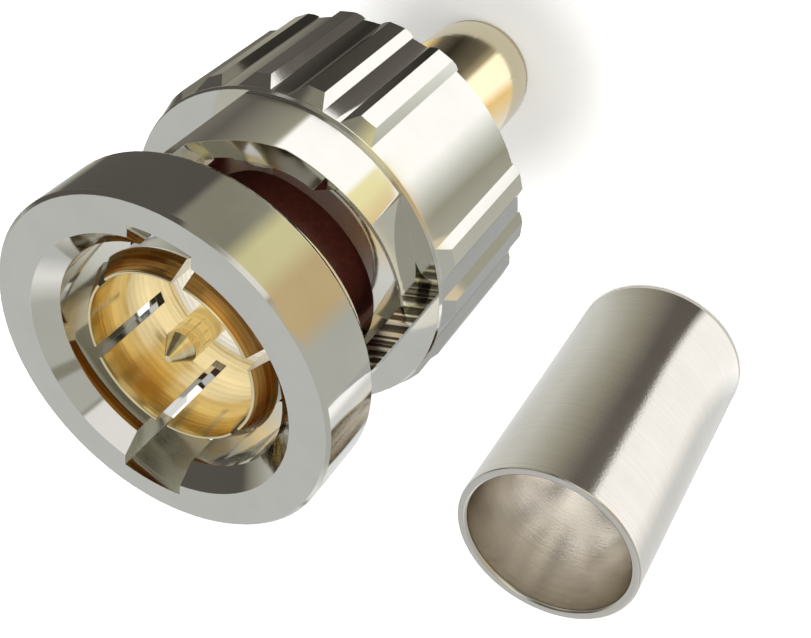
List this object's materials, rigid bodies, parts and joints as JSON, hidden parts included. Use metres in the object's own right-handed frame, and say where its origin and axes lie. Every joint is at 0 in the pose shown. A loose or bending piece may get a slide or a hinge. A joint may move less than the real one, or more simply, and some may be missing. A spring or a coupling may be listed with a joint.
{
  "type": "bnc crimp plug",
  "caption": "Coaxial bayonet plug with a ribbed coupling nut, gold plated contacts and crimp barrel, and a loose crimp ferrule beside it.",
  "frame": {"origin": "on the plug's axis at the rear end of its crimp barrel, which is also the floor that the ferrule stands on", "axes": "+Z along the plug's axis from the cable end to the mouth; -Y faces the window seen in the picture"},
  "size_m": [0.0303, 0.016, 0.0275],
  "materials": {
    "bright_nickel": "polished nickel plate",
    "gold_plate": "gold plate, fine turned",
    "ptfe": "turned white fluoropolymer",
    "red_silicone": "smooth moulded silicone",
    "spring_steel": "plain spring steel",
    "spring_bronze": "plain phosphor bronze",
    "satin_nickel": "satin nickel plate, drawn tube"
  },
  "bodies": {
    "plug": {"plug_body": "gold_plate", "outer_contact": "gold_plate", "centre_pin": "gold_plate", "front_insulator": "ptfe", "rear_insulator": "ptfe", "gasket": "red_silicone", "wave_spring": "spring_steel", "retaining_ring": "spring_steel", "crimp_ferrule": "satin_nickel"},
    "washer": {"thrust_washer": "spring_bronze"},
    "nut": {"coupling_nut": "bright_nickel"}
  },
  "joints": [
    {"name": "nut_push", "type": "slide", "parent": "plug", "child": "washer", "axis": [0, 0, 1], "range_m": [0, 0.0006], "stiffness_N_per_m": 8000, "springref_m": -0.0006, "deforming": ["wave_spring"]},
    {"name": "nut_turn", "type": "hinge", "parent": "washer", "child": "nut", "pos_m": [0, 0, 0.01455], "axis": [0, 0, 1], "continuous": true}
  ]
}
